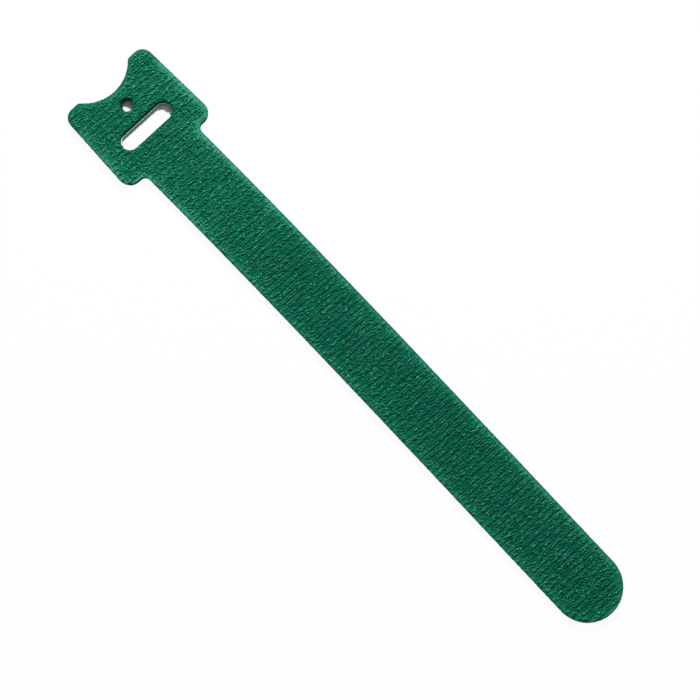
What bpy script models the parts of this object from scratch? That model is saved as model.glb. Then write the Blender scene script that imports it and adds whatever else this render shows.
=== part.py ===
"""Hook and loop cable tie, lying flat with its loop side up.

The tie is a laminate of two webs, a knitted loop fabric over a moulded hook tape, which one die
cuts to the same outline. Units are metres and +Z is up. +X runs from the eared head to the
rounded tip. The origin is on the surface that the tie lies on, under the middle of its length.
"""

import math

import bmesh
import bpy

MM = 0.001

# Outline of the die, the same for both webs
OVERALL_LENGTH = 200.0 * MM
STRAP_WIDTH = 19.05 * MM
HEAD_LENGTH = 26.7 * MM
HEAD_WIDTH_AT_EARS = 29.2 * MM
HEAD_WIDTH_AT_SHOULDERS = 31.2 * MM
SCALLOP_DEPTH = 4.3 * MM
SCALLOP_RADIUS = 12.3 * MM
EAR_INNER_RADIUS = 1.3 * MM
EAR_OUTER_RADIUS = 2.8 * MM
SHOULDER_RADIUS = 3.2 * MM
NECK_RADIUS = 2.0 * MM
CORNER_STEPS = 6
SCALLOP_STEPS = 14
TIP_STEPS = 28

# Slot that the strap is pulled through, and the hole for a screw or a hook
SLOT_WIDTH = 5.1 * MM
SLOT_FROM_EARS = 16.95 * MM
SLOT_SQUEEZE = 1.6 * MM  # the strap folds by this much to pass
SLOT_END_STEPS = 10
HOLE_DIAMETER = 3.5 * MM
HOLE_FROM_EARS = 9.0 * MM
HOLE_STEPS = 24

# Layers, from the surface up
HOOK_HEIGHT = 0.7 * MM
HOOK_FILM = 0.4 * MM
GLUE_LINE = 0.05 * MM
LOOP_GROUND = 0.9 * MM
KNIT_RIDGE_HEIGHT = 0.35 * MM

# Rows of hooks run along the tie, spaced so that each long edge lies midway between two rows
HOOK_ROWS_ON_STRAP = 15
HOOK_ROW_CREST = 0.42 * MM
HOOK_ROW_FOOT = 0.66 * MM
HOOK_ROW_MARGIN = 0.2 * MM  # bare film along the head's sides

# Knitted ridges run across the tie
KNIT_PITCH = 1.6 * MM
RIDGE_STEPS = 4

# How far the webs and the punches reach past what they are cut to
TRIM = 2.0 * MM

EAR_X = -OVERALL_LENGTH / 2
SHOULDER_X = EAR_X + HEAD_LENGTH
TIP_CENTRE_X = OVERALL_LENGTH / 2 - STRAP_WIDTH / 2
SLOT_X = EAR_X + SLOT_FROM_EARS
SLOT_LENGTH = STRAP_WIDTH - SLOT_SQUEEZE
HOLE_X = EAR_X + HOLE_FROM_EARS
WEB_WIDTH = max(HEAD_WIDTH_AT_EARS, HEAD_WIDTH_AT_SHOULDERS) + 2 * TRIM
FILM_TOP = HOOK_HEIGHT + HOOK_FILM
LOOP_BOTTOM = FILM_TOP + GLUE_LINE
RIDGE_VALLEY = LOOP_BOTTOM + LOOP_GROUND
TIE_TOP = RIDGE_VALLEY + KNIT_RIDGE_HEIGHT


def clear_scene():
    """Removes whatever the open file holds, so that the script can run from anywhere."""
    for old in list(bpy.data.objects):
        bpy.data.objects.remove(old)


def arc(centre, radius, start, end, steps):
    """Points along an arc, both ends included. Angles are in radians, anticlockwise from +X."""
    angles = [start + (end - start) * i / steps for i in range(steps + 1)]
    return [(centre[0] + radius * math.cos(a), centre[1] + radius * math.sin(a)) for a in angles]


def fillet(before, corner, after, radius):
    """The arc that rounds one corner between two straight edges."""
    into = math.atan2(before[1] - corner[1], before[0] - corner[0])
    out_of = math.atan2(after[1] - corner[1], after[0] - corner[0])
    opening = (out_of - into + math.pi) % (2 * math.pi) - math.pi
    middle = into + opening / 2
    reach = radius / abs(math.sin(opening / 2))
    centre = (corner[0] + reach * math.cos(middle), corner[1] + reach * math.sin(middle))
    turn = math.copysign(math.pi - abs(opening), opening)
    start = middle + math.pi + turn / 2
    return arc(centre, radius, start, start - turn, CORNER_STEPS)


def scallop_half():
    """The hollow between the ears, from its bottom on the centre line to the flat of one ear."""
    centre_x = EAR_X + SCALLOP_DEPTH - SCALLOP_RADIUS
    corner_x = EAR_X + EAR_INNER_RADIUS
    between = SCALLOP_RADIUS + EAR_INNER_RADIUS
    meet = math.acos((corner_x - centre_x) / between)
    corner = (corner_x, between * math.sin(meet))
    hollow = arc((centre_x, 0.0), SCALLOP_RADIUS, 0.0, meet, SCALLOP_STEPS)
    return hollow + arc(corner, EAR_INNER_RADIUS, meet - math.pi, -math.pi, CORNER_STEPS)[1:]


def die_outline():
    """The closed outline that the die cuts, clockwise from the middle of the scallop."""
    ear_inner = (EAR_X, 0.0)
    ear = (EAR_X, HEAD_WIDTH_AT_EARS / 2)
    shoulder = (SHOULDER_X, HEAD_WIDTH_AT_SHOULDERS / 2)
    neck = (SHOULDER_X, STRAP_WIDTH / 2)
    tip_start = (TIP_CENTRE_X, STRAP_WIDTH / 2)
    half = scallop_half()
    half += fillet(ear_inner, ear, shoulder, EAR_OUTER_RADIUS)
    half += fillet(ear, shoulder, neck, SHOULDER_RADIUS)
    half += fillet(shoulder, neck, tip_start, NECK_RADIUS)
    half += arc((TIP_CENTRE_X, 0.0), STRAP_WIDTH / 2, math.pi / 2, 0.0, TIP_STEPS)
    other_half = [(x, -y) for x, y in reversed(half[1:-1])]
    return half + other_half


def slot_outline():
    """The slot across the head: straight sides and half-round ends."""
    radius = SLOT_WIDTH / 2
    offset = SLOT_LENGTH / 2 - radius
    far_end = arc((SLOT_X, offset), radius, 0.0, math.pi, SLOT_END_STEPS)
    near_end = arc((SLOT_X, -offset), radius, math.pi, 2 * math.pi, SLOT_END_STEPS)
    return far_end + near_end


def hole_outline():
    """The round hole between the scallop and the slot."""
    return arc((HOLE_X, 0.0), HOLE_DIAMETER / 2, 0.0, 2 * math.pi, HOLE_STEPS)[:-1]


def extruded(name, profile, direction):
    """An object whose mesh is a closed profile carried straight along a direction.

    profile is a list of 3-D points in one plane, and direction is a 3-D vector.
    """
    mesh = bpy.data.meshes.new(name)
    shape = bmesh.new()
    face = shape.faces.new([shape.verts.new(point) for point in profile])
    moved = bmesh.ops.extrude_face_region(shape, geom=[face])
    far_side = [part for part in moved["geom"] if isinstance(part, bmesh.types.BMVert)]
    bmesh.ops.translate(shape, verts=far_side, vec=direction)
    bmesh.ops.recalc_face_normals(shape, faces=shape.faces)
    shape.to_mesh(mesh)
    shape.free()
    made = bpy.data.objects.new(name, mesh)
    bpy.context.scene.collection.objects.link(made)
    return made


def die(name, outline):
    """A cutter that stands through both webs, with the given outline."""
    profile = [(x, y, -TRIM) for x, y in outline]
    cutter = extruded(name, profile, (0.0, 0.0, TIE_TOP + 2 * TRIM))
    cutter.hide_render = True
    cutter.display_type = "WIRE"
    return cutter


def knitted_profile():
    """The loop web's section along the tie: a flat back and one rounded ridge a course."""
    courses = math.ceil((OVERALL_LENGTH / 2 + TRIM) / KNIT_PITCH)
    profile = []
    for step in range(-courses * RIDGE_STEPS, courses * RIDGE_STEPS + 1):
        along = step / RIDGE_STEPS
        height = KNIT_RIDGE_HEIGHT * abs(math.sin(math.pi * along))
        profile.append((along * KNIT_PITCH, -WEB_WIDTH / 2, RIDGE_VALLEY + height))
    end = courses * KNIT_PITCH
    profile.append((end, -WEB_WIDTH / 2, LOOP_BOTTOM))
    profile.append((-end, -WEB_WIDTH / 2, LOOP_BOTTOM))
    return profile


def hook_profile():
    """The hook web's section across the tie: a film with a row of hooks at each pitch under it."""
    pitch = STRAP_WIDTH / HOOK_ROWS_ON_STRAP
    room = HEAD_WIDTH_AT_EARS / 2 - HOOK_ROW_MARGIN - HOOK_ROW_FOOT / 2
    outermost = int(room / pitch)
    middle_shift = 0.0 if HOOK_ROWS_ON_STRAP % 2 else pitch / 2
    start_x = -OVERALL_LENGTH / 2 - TRIM
    profile = [(start_x, WEB_WIDTH / 2, FILM_TOP), (start_x, -WEB_WIDTH / 2, FILM_TOP)]
    profile.append((start_x, -WEB_WIDTH / 2, HOOK_HEIGHT))
    for row in range(-outermost, outermost + 1):
        y = row * pitch - middle_shift
        for side, half_width, z in (
            (-1, HOOK_ROW_FOOT / 2, HOOK_HEIGHT),
            (-1, HOOK_ROW_CREST / 2, 0.0),
            (1, HOOK_ROW_CREST / 2, 0.0),
            (1, HOOK_ROW_FOOT / 2, HOOK_HEIGHT),
        ):
            profile.append((start_x, y + side * half_width, z))
    profile.append((start_x, WEB_WIDTH / 2, HOOK_HEIGHT))
    return profile


def finish(name, colour, roughness):
    """A plain material with the given linear colour."""
    material = bpy.data.materials.new(name)
    material.use_nodes = True
    shader = material.node_tree.nodes["Principled BSDF"]
    shader.inputs["Base Color"].default_value = (*colour, 1.0)
    shader.inputs["Roughness"].default_value = roughness
    shader.inputs["Metallic"].default_value = 0.0
    material.diffuse_color = (*colour, 1.0)
    return material


def die_cut(web, operations):
    """Trims a web with the die's outline and punches its openings, and keeps the cuts live."""
    for label, operation, cutter in operations:
        cut = web.modifiers.new(label, "BOOLEAN")
        cut.operation = operation
        cut.solver = "EXACT"
        cut.object = cutter


def main():
    """Builds both webs and cuts them with one die."""
    clear_scene()
    operations = (
        ("outline", "INTERSECT", die("outline_die", die_outline())),
        ("slot", "DIFFERENCE", die("slot_punch", slot_outline())),
        ("hole", "DIFFERENCE", die("hole_punch", hole_outline())),
    )
    loop_fabric = extruded("loop_fabric", knitted_profile(), (0.0, WEB_WIDTH, 0.0))
    loop_fabric.data.materials.append(finish("green_loop_pile", (0.010, 0.115, 0.066), 0.95))
    die_cut(loop_fabric, operations)
    hook_length = OVERALL_LENGTH + 2 * TRIM
    hook_tape = extruded("hook_tape", hook_profile(), (hook_length, 0.0, 0.0))
    hook_tape.data.materials.append(finish("green_moulded_hook", (0.012, 0.130, 0.078), 0.55))
    die_cut(hook_tape, operations)


main()
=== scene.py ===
"""Looks of the green hook and loop cable tie, laid flat with its knitted loop side up.

The die's outline, with the slot and the hole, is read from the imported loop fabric, so every piece
follows the solids. Lengths are in metres. +X runs from the eared head to the round tip, +Z is up.
"""

from __future__ import annotations

import logging
import math
from dataclasses import dataclass, field
from enum import Enum
from typing import Any

import bmesh
import bpy
import numpy as np
from mathutils import Matrix, Vector
from mathutils.geometry import delaunay_2d_cdt


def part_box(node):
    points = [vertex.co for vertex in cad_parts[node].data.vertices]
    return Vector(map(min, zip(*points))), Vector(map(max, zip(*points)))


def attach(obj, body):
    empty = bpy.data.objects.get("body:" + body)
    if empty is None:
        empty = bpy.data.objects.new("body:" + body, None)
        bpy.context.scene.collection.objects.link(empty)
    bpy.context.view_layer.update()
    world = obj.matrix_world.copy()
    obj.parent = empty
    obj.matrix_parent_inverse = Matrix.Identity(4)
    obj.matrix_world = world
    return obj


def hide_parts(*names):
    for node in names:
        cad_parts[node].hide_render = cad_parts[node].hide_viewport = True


MM = 0.001
ROOT = "root"
LOOP_NODE = "loop_fabric"
HOOK_NODE = "hook_tape"
WHITE = (1.0, 1.0, 1.0, 1.0)
LOG = logging.getLogger("cable_tie")

Colour = tuple[float, float, float]
Pair = tuple[float, float]

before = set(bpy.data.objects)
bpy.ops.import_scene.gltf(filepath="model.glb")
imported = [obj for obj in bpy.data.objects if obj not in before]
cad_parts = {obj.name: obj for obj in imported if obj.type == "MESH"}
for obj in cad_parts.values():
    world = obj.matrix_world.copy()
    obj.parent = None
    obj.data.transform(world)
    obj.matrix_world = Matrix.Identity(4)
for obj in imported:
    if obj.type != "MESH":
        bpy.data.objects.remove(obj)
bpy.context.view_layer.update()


class Slot(Enum):
    """The record's material slots."""

    LOOP = "loop_pile"
    HOOK = "moulded_hook"


class Operation(Enum):
    """The Math node's operations that the finishes and the node trees use."""

    ADD = "ADD"
    SUBTRACT = "SUBTRACT"
    MULTIPLY = "MULTIPLY"
    DIVIDE = "DIVIDE"
    MAXIMUM = "MAXIMUM"
    MINIMUM = "MINIMUM"
    GREATER = "GREATER_THAN"
    LESS = "LESS_THAN"
    ABSOLUTE = "ABSOLUTE"
    PING_PONG = "PINGPONG"


class Graph:
    """One node tree, for a finish or for geometry, with a single way to make its nodes."""

    def __init__(self, tree: bpy.types.NodeTree) -> None:
        """Empties the tree that is to be filled."""
        self.tree = tree
        tree.nodes.clear()

    def node(
        self, kind: str, inputs: dict[str | int, Any] | None = None, **settings: Any
    ) -> bpy.types.Node:
        """Makes one node.

        Args:
            kind: The node's type, such as "ShaderNodeMath".
            inputs: Numbers, colours, Values or sockets of this tree for its input sockets.
            settings: Its own settings, which are set before its sockets. "stops" holds a colour
                ramp's stops as (position, colour) pairs.

        Returns:
            The new node.
        """
        made = self.tree.nodes.new(kind)
        for name, value in settings.items():
            if name == "stops":
                self._set_stops(made.color_ramp, value)
            else:
                setattr(made, name, value)
        for key, value in (inputs or {}).items():
            if isinstance(value, Value):
                value = value.socket
            if isinstance(value, bpy.types.NodeSocket):
                self.tree.links.new(value, made.inputs[key])
            else:
                made.inputs[key].default_value = value
        return made

    @staticmethod
    def _set_stops(ramp: bpy.types.ColorRamp, stops: list[tuple[float, Colour]]) -> None:
        """Gives a colour ramp exactly these stops.

        Args:
            ramp: The ramp.
            stops: The position and the colour of each.
        """
        while len(ramp.elements) < len(stops):
            ramp.elements.new(0.5)
        for element, (position, colour) in zip(ramp.elements, stops):
            element.position = position
            element.color = (*colour, 1.0)

    def read(
        self,
        kind: str,
        inputs: dict[str | int, Any] | None = None,
        output: str | int = 0,
        **settings: Any,
    ) -> Value:
        """One output of a new node, for use in sums and in other nodes."""
        return Value(self, self.node(kind, inputs, **settings).outputs[output])

    def axis(self, vector: Any, name: str) -> Value:
        """One part of a vector, X, Y or Z."""
        return self.read("ShaderNodeSeparateXYZ", {0: vector}, name)

    def noise(self, place: Any, scale: float, detail: float) -> Value:
        """Even noise from 0 to 1."""
        inputs = {"Vector": place, "Scale": scale, "Detail": detail}
        return self.read("ShaderNodeTexNoise", inputs, "Fac")

    def bump(self, strength: float, distance: float, height: Value) -> Value:
        """The surface's normal, turned as a height asks."""
        inputs = {"Strength": strength, "Distance": distance, "Height": height}
        return self.read("ShaderNodeBump", inputs, "Normal")

    def mix(self, factor: Value, first: Any, second: Any) -> Value:
        """A colour between two others."""
        return self.read("ShaderNodeMix", {0: factor, 6: first, 7: second}, 2, data_type="RGBA")


@dataclass(frozen=True)
class Value:
    """A socket that can be used in sums. Each sum adds its Math nodes to the tree."""

    graph: Graph
    socket: bpy.types.NodeSocket

    def math(self, operation: Operation, other: Any = 0.0, swapped: bool = False) -> Value:
        """One Math node.

        Args:
            operation: What it works out.
            other: Its second input, which some operations leave unused.
            swapped: Whether the other comes first and this value second.

        Returns:
            The result.
        """
        inputs = {0: other, 1: self} if swapped else {0: self, 1: other}
        return self.graph.read("ShaderNodeMath", inputs, operation=operation.value)

    def __add__(self, other: Any) -> Value:
        """Sum."""
        return self.math(Operation.ADD, other)

    def __sub__(self, other: Any) -> Value:
        """Difference."""
        return self.math(Operation.SUBTRACT, other)

    def __rsub__(self, other: Any) -> Value:
        """Difference, the other way round."""
        return self.math(Operation.SUBTRACT, other, swapped=True)

    def __mul__(self, other: Any) -> Value:
        """Product."""
        return self.math(Operation.MULTIPLY, other)

    __radd__ = __add__
    __rmul__ = __mul__

    def __truediv__(self, other: Any) -> Value:
        """Quotient."""
        return self.math(Operation.DIVIDE, other)

    def __gt__(self, other: Any) -> Value:
        """One where this is larger, and zero elsewhere."""
        return self.math(Operation.GREATER, other)

    def __lt__(self, other: Any) -> Value:
        """One where this is smaller, and zero elsewhere."""
        return self.math(Operation.LESS, other)

    def __abs__(self) -> Value:
        """Size without its sign."""
        return self.math(Operation.ABSOLUTE)

    def clamped(self) -> Value:
        """The value held between zero and one."""
        return self.math(Operation.MAXIMUM, 0.0).math(Operation.MINIMUM, 1.0)


@dataclass(frozen=True)
class Finish:
    """A procedural material. Each kind of finish has its own surface."""

    name: str

    def surface(self, graph: Graph) -> Value:
        """The shader of the material, made in its graph."""
        raise NotImplementedError

    def build(self) -> bpy.types.Material:
        """Makes the material.

        Returns:
            The material, with its nodes.
        """
        material = bpy.data.materials.new(self.name)
        material.use_nodes = True
        graph = Graph(material.node_tree)
        graph.node("ShaderNodeOutputMaterial", {"Surface": self.surface(graph)})
        return material


@dataclass(frozen=True)
class YarnFinish(Finish):
    """Dyed yarn, matt and fuzzy, with painted shade: darker low down between the loops and paler
    where it stands up.
    """

    deep: Colour = (0.002, 0.049, 0.030)
    body: Colour = (0.0105, 0.240, 0.136)
    pale: Colour = (0.135, 0.560, 0.385)
    roughness: float = 0.9
    specular: float = 0.05
    # Painted shade by height: yarn that lies lower than the middle height is darker, higher yarn is
    # paler.
    middle_height: float = 2.2 * MM
    painted_shade_per_height: float = 0.8 / MM
    blotch_size: float = 6.0 * MM
    blotch_gain: float = 0.08
    fibre_size: float = 0.16 * MM
    fibre_gain: float = 0.18
    fibre_relief: float = 0.03 * MM
    bump_strength: float = 0.6

    def surface(self, graph: Graph) -> Value:
        """The shader. The mesh attribute "shade" runs from deep, 0, to pale, 1.

        Args:
            graph: The material's graph.

        Returns:
            The shader.
        """
        place = graph.read("ShaderNodeTexCoord", output="Object")
        shade = graph.read("ShaderNodeAttribute", output="Fac", attribute_name="shade")
        height = graph.axis(place, "Z") - self.middle_height
        blotch = graph.noise(place, scale=1.0 / self.blotch_size, detail=1.0) - 0.5
        fibre = graph.noise(place, scale=1.0 / self.fibre_size, detail=1.0) - 0.5
        # Painted shade: the lower the yarn lies, the darker it is.
        level = shade + height * self.painted_shade_per_height
        level = (level + blotch * self.blotch_gain + fibre * self.fibre_gain).clamped()
        stops = [(0.0, self.deep), (0.5, self.body), (1.0, self.pale)]
        inputs = {
            "Base Color": graph.read("ShaderNodeValToRGB", {"Fac": level}, "Color", stops=stops),
            "Roughness": self.roughness,
            "Specular IOR Level": self.specular,
            "Normal": graph.bump(self.bump_strength, self.fibre_relief, fibre),
        }
        return graph.read("ShaderNodeBsdfPrincipled", inputs)


@dataclass(frozen=True)
class HookPlasticFinish(Finish):
    """Moulded plastic, satin on its faces and pale at the cut, partly the cut plastic's paler colour
    and partly a painted highlight.
    """

    name: str = "moulded_hook_plastic"
    body: Colour = (0.012, 0.150, 0.088)
    # Pale cut: partly the cut plastic's own paler colour, partly a painted highlight on the slot's
    # edge.
    cut: Colour = (0.70, 0.92, 0.82)
    roughness: float = 0.42
    roughness_spread: float = 0.16
    specular: float = 0.4
    streak_length: float = 6.0 * MM
    streak_width: float = 0.25 * MM
    streak_relief: float = 0.015 * MM
    streak_shade: float = 0.8
    bump_strength: float = 0.5
    steep: float = 0.5

    def surface(self, graph: Graph) -> Value:
        """The shader, with fine streaks along the tie. The mesh attribute "cut" makes it pale.

        Args:
            graph: The material's graph.

        Returns:
            The shader.
        """
        place = graph.read("ShaderNodeTexCoord", output="Object")
        scale = (1.0 / self.streak_length, 1.0 / self.streak_width, 1.0 / self.streak_width)
        mapped = graph.read("ShaderNodeMapping", {"Vector": place, "Scale": scale})
        streak = graph.noise(mapped, scale=1.0, detail=2.0)
        cut = graph.read("ShaderNodeAttribute", output="Fac", attribute_name="cut")
        normal = graph.read("ShaderNodeNewGeometry", output="True Normal")
        upright = graph.axis(normal, "Z") > -self.steep
        darker = tuple(self.streak_shade * part for part in self.body)
        tone = graph.mix(streak, (*darker, 1.0), (*self.body, 1.0))
        inputs = {
            # The pale cut is partly a painted highlight.
            "Base Color": graph.mix(cut * upright, tone, (*self.cut, 1.0)),
            "Roughness": streak * self.roughness_spread + self.roughness,
            "Specular IOR Level": self.specular,
            "Normal": graph.bump(self.bump_strength, self.streak_relief, streak),
        }
        return graph.read("ShaderNodeBsdfPrincipled", inputs)


@dataclass(frozen=True)
class PaperFloorFinish(Finish):
    """White paper that the camera sees as nearly white, with the tie's shadow still on it."""

    name: str = "white_paper_floor"
    colour: Colour = (0.93, 0.93, 0.93)
    roughness: float = 0.9
    lift: float = 0.95
    lift_under_head: float = 0.0
    head_centre: Pair = (-87.0 * MM, 0.0)
    head_half: Pair = (7.5 * MM, 11.0 * MM)

    def surface(self, graph: Graph) -> Value:
        """The shader. Under the head the paper isn't lifted, so the slot stays grey.

        Args:
            graph: The material's graph.

        Returns:
            The shader.
        """
        inputs = {
            "Base Color": (*self.colour, 1.0),
            "Roughness": self.roughness,
            "Specular IOR Level": 0.0,
        }
        paper = graph.read("ShaderNodeBsdfPrincipled", inputs)
        white = graph.read("ShaderNodeEmission", {"Color": WHITE, "Strength": 1.0})
        place = graph.read("ShaderNodeTexCoord", output="Object")
        along = abs(graph.axis(place, "X") - self.head_centre[0]) < self.head_half[0]
        across = abs(graph.axis(place, "Y") - self.head_centre[1]) < self.head_half[1]
        seen = graph.read("ShaderNodeLightPath", output="Is Camera Ray")
        for ray in ("Is Glossy Ray", "Is Transmission Ray"):
            seen = seen.math(Operation.MAXIMUM, graph.read("ShaderNodeLightPath", output=ray))
        lift = along * across * (self.lift_under_head - self.lift) + self.lift
        return graph.read("ShaderNodeMixShader", {0: seen * lift, 1: paper, 2: white})


@dataclass(frozen=True)
class Unevenness:
    """Smooth random variation over the tie, on a lattice of random values."""

    amount: float
    cell: Pair
    seed: int
    reach: float = 0.15

    def at(self, x: np.ndarray, y: np.ndarray) -> np.ndarray:
        """The variation, from minus the amount to the amount.

        Args:
            x: Places along the tie.
            y: Places across it.

        Returns:
            The variation at each place.
        """
        columns, rows = (int(2 * self.reach / side) + 3 for side in self.cell)
        lattice = np.random.default_rng(self.seed).uniform(-1.0, 1.0, (columns, rows))
        u = (x + self.reach) / self.cell[0]
        v = (y + self.reach) / self.cell[1]
        i = np.floor(u).astype(int)
        j = np.floor(v).astype(int)
        s = smooth_step(u - i)
        t = smooth_step(v - j)
        low = lattice[i, j] * (1 - s) + lattice[i + 1, j] * s
        high = lattice[i, j + 1] * (1 - s) + lattice[i + 1, j + 1] * s
        return self.amount * (low * (1 - t) + high * t)


def smooth_step(share: np.ndarray) -> np.ndarray:
    """A share from 0 to 1, eased at both ends."""
    return share * share * (3 - 2 * share)


def closed_chains(follow: dict[int, int]) -> list[list[int]]:
    """Splits a walk into its rings.

    Args:
        follow: The point that comes after each point. It is used up.

    Returns:
        The points of each ring, in order.
    """
    chains = []
    while follow:
        start, nearby = follow.popitem()
        chain = [start]
        while nearby != start:
            chain.append(nearby)
            nearby = follow.pop(nearby)
        chains.append(chain)
    return chains


def read_vectors(mesh: bpy.types.Mesh, name: str = "co") -> np.ndarray:
    """The place of each point of a mesh, or another vector that it has.

    Args:
        mesh: The mesh.
        name: "co" for the places or "normal" for the normals.

    Returns:
        The vectors, one a row.
    """
    values = np.zeros(3 * len(mesh.vertices))
    mesh.vertices.foreach_get(name, values)
    return values.reshape(-1, 3)


def write_attribute(
    mesh: bpy.types.Mesh, name: str, values: np.ndarray, kind: str = "FLOAT"
) -> None:
    """Stores one number, or one vector, for each point of a mesh.

    Args:
        mesh: The mesh.
        name: The attribute's name.
        values: A value for each point.
        kind: FLOAT, INT or FLOAT_VECTOR.
    """
    layer = mesh.attributes.new(name, kind, "POINT")
    number = np.int32 if kind == "INT" else np.float32
    part = "vector" if kind == "FLOAT_VECTOR" else "value"
    layer.data.foreach_set(part, np.ascontiguousarray(values, number).ravel())


def new_object(name: str, data: bpy.types.ID) -> bpy.types.Object:
    """A new object in the scene, at the origin.

    Args:
        name: Its name.
        data: Its mesh, lamp or camera.

    Returns:
        The object.
    """
    made = bpy.data.objects.new(name, data)
    bpy.context.scene.collection.objects.link(made)
    return made


def mesh_object(name: str, points: np.ndarray, faces: list[tuple[int, ...]]) -> bpy.types.Object:
    """A new object with a mesh.

    Args:
        name: The object's name, and its mesh's.
        points: The mesh's points, one a row.
        faces: The numbers of each face's points.

    Returns:
        The object.
    """
    mesh = bpy.data.meshes.new(name)
    mesh.from_pydata([tuple(p) for p in points], [], faces)
    mesh.validate()
    mesh.update()
    return new_object(name, mesh)


def turn_outwards(mesh: bpy.types.Mesh) -> None:
    """Makes every face of a closed mesh face outwards.

    Args:
        mesh: The mesh.
    """
    shape = bmesh.new()
    shape.from_mesh(mesh)
    bmesh.ops.recalc_face_normals(shape, faces=shape.faces)
    shape.to_mesh(mesh)
    shape.free()
    mesh.update()


@dataclass(frozen=True)
class DieOutline:
    """The closed outlines that the die cut: the tie's own edge, the slot and the hole."""

    loops: tuple[np.ndarray, ...]

    @classmethod
    def of_node(cls, node: bpy.types.Object, tolerance: float = 0.002 * MM) -> DieOutline:
        """Reads the outlines from the flat underside of a packed web.

        Args:
            node: The web's CAD object.
            tolerance: How close points must be to be the same one.

        Returns:
            Its outlines, the longest first.
        """
        points = read_vectors(node.data)
        corners = np.array([p.vertices for p in node.data.polygons])
        lowest = points[:, 2].min()
        flat = (np.abs(points[corners][:, :, 2] - lowest) < tolerance).all(axis=1)
        plan = np.round(points[:, :2] / tolerance).astype(int)
        merged, index = np.unique(plan, axis=0, return_inverse=True)
        faces = index.reshape(-1)[corners[flat]]
        edges = {(int(a), int(b)) for f in faces for a, b in zip(f, np.roll(f, -1))}
        follow = {a: b for a, b in edges if (b, a) not in edges}
        loops = [merged[chain] * tolerance for chain in closed_chains(follow)]
        return cls(tuple(sorted(loops, key=lambda loop: -np.ptp(loop[:, 0]))))

    @property
    def area(self) -> float:
        """The cloth's area.

        Returns:
            The area inside the tie's own edge, with the openings taken out.
        """
        sizes = []
        for loop in self.loops:
            after = np.roll(loop, -1, axis=0)
            sizes.append(abs(0.5 * (loop[:, 0] * after[:, 1] - loop[:, 1] * after[:, 0]).sum()))
        return float(sizes[0] - sum(sizes[1:]))

    def shifted(self, shifts: tuple[Pair, ...]) -> DieOutline:
        """The same outlines with each opening moved along and across the tie."""
        moved = [loop + np.array(shift) for loop, shift in zip(self.loops[1:], shifts)]
        return DieOutline((self.loops[0], *moved))

    def depth(self, points: np.ndarray, inset: float = 0.0) -> np.ndarray:
        """How far inside the cloth each point lies.

        Args:
            points: Plan positions, one a row.
            inset: How much wider the openings are taken to be all round.

        Returns:
            The distance to the nearest cut edge, negative outside the cloth.
        """
        depth = self.inside(points, 0)
        for opening in range(1, len(self.loops)):
            depth = np.minimum(depth, -self.inside(points, opening) - inset)
        return depth

    def inside(self, points: np.ndarray, which: int) -> np.ndarray:
        """How far inside one of the outlines each point lies.

        Args:
            points: Plan positions, one a row.
            which: The outline's number.

        Returns:
            The distance to the outline, negative outside it.
        """
        loop = self.loops[which]
        nearest = np.full(len(points), np.inf)
        within = np.zeros(len(points), dtype=bool)
        for a, b in zip(loop, np.roll(loop, -1, axis=0)):
            run = b - a
            offset = points - a
            share = np.clip(offset @ run / (run @ run), 0.0, 1.0)
            gap = offset - share[:, None] * run
            nearest = np.minimum(nearest, np.einsum("ij,ij->i", gap, gap))
            if a[1] == b[1]:
                continue
            crosses = (points[:, 1] < a[1]) != (points[:, 1] < b[1])
            at = a[0] + (points[:, 1] - a[1]) * (run[0] / run[1])
            within ^= crosses & (points[:, 0] < at)
        return np.where(within, 1.0, -1.0) * np.sqrt(nearest)


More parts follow.
